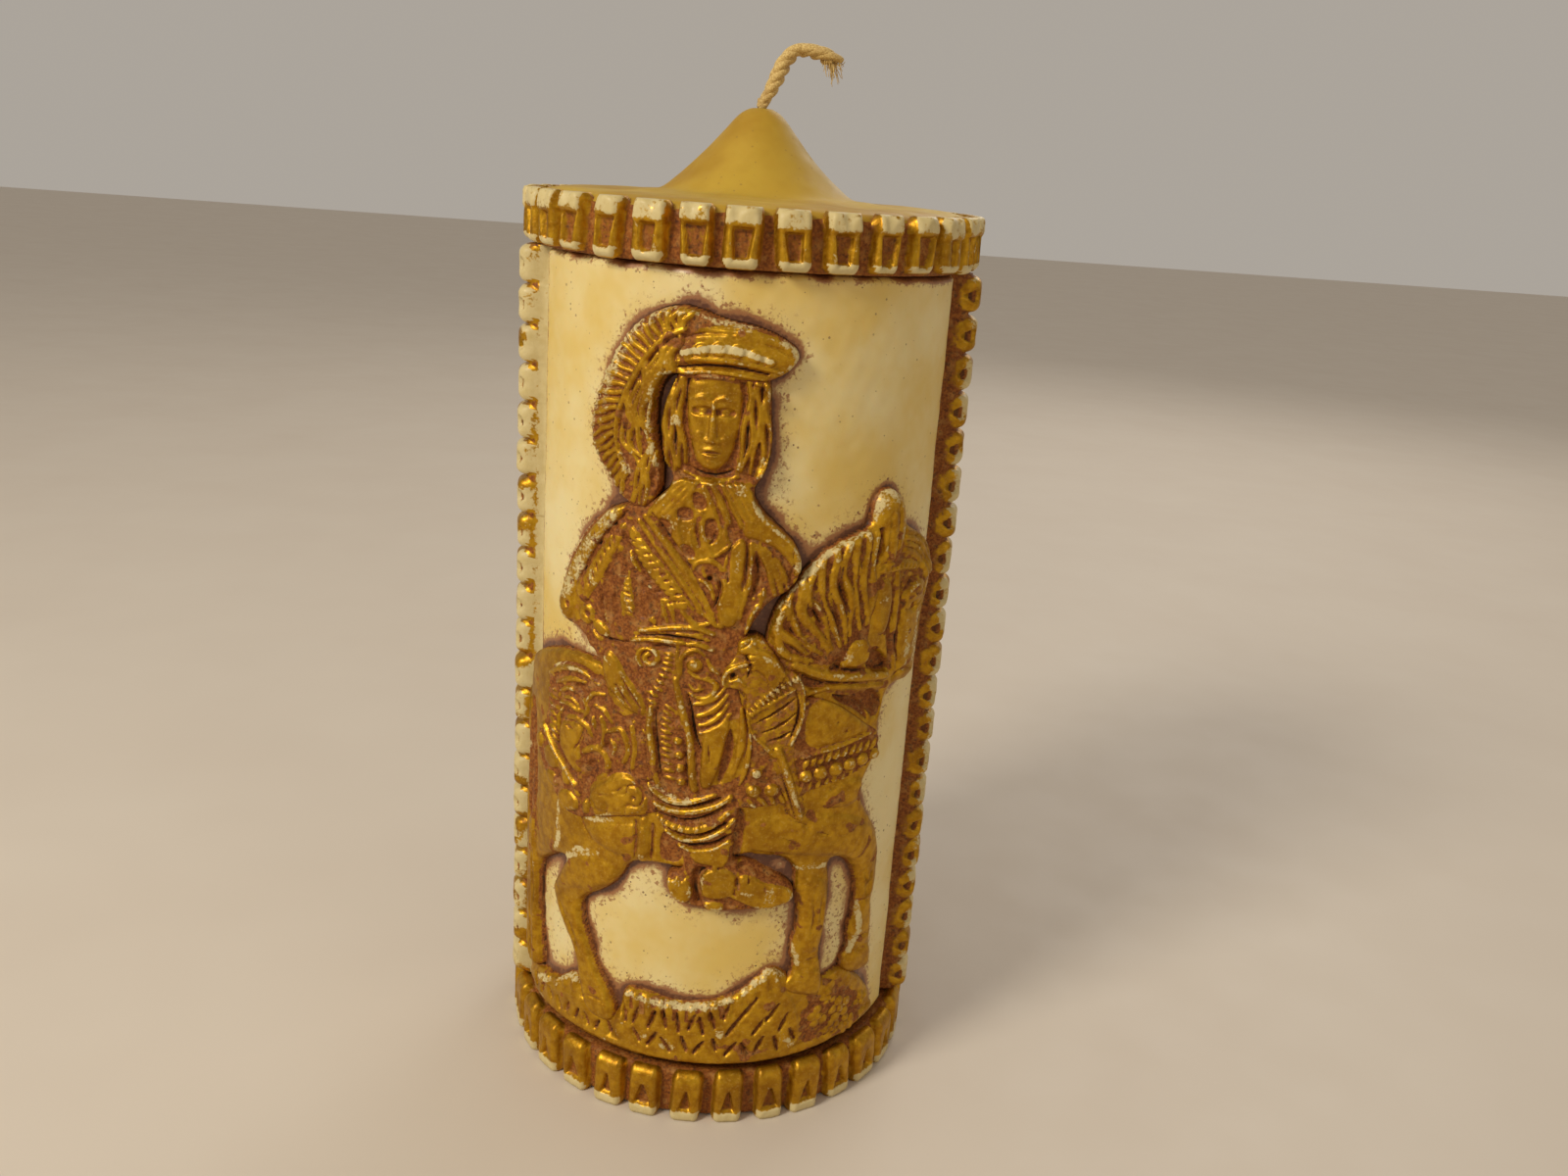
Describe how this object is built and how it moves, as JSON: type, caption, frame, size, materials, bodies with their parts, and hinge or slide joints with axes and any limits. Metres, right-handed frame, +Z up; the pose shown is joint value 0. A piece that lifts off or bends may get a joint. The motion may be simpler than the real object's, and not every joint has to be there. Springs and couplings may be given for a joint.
{
  "type": "unity candle",
  "caption": "Round pillar candle with a pointed poured crown, two relief panels of a rider on horseback and gilt wax block borders; stands on its flat base and burns by its wick.",
  "frame": {"origin": "centre of the flat base, on the ground", "axes": "+Z up along the candle and its wick; the front relief panel faces -Y; the side where the wick folds over is +X"},
  "size_m": [0.0804, 0.0796, 0.1864],
  "materials": {
    "crown_wax": "waxy satin, ochre",
    "ivory_wax": "waxy satin, ivory with brown stain",
    "gilt_wax": "antique gold rub over brown stain",
    "wick_cotton": "twisted cotton, waxed at the foot"
  },
  "bodies": {
    "root": {"wax_core": "crown_wax", "wick": "wick_cotton", "upper_border": "gilt_wax", "lower_border": "gilt_wax", "front_panel": "ivory_wax", "back_panel": "ivory_wax", "front_left_column": "gilt_wax", "front_right_column": "gilt_wax", "back_left_column": "gilt_wax", "back_right_column": "gilt_wax", "front_turf": "gilt_wax", "front_horse": "gilt_wax", "front_saddle_cloth": "gilt_wax", "front_rider": "gilt_wax", "front_plumed_beret": "gilt_wax", "front_sword": "gilt_wax", "back_turf": "gilt_wax", "back_horse": "gilt_wax", "back_saddle_cloth": "gilt_wax", "back_rider": "gilt_wax", "back_plumed_beret": "gilt_wax", "back_sword": "gilt_wax"}
  },
  "joints": []
}
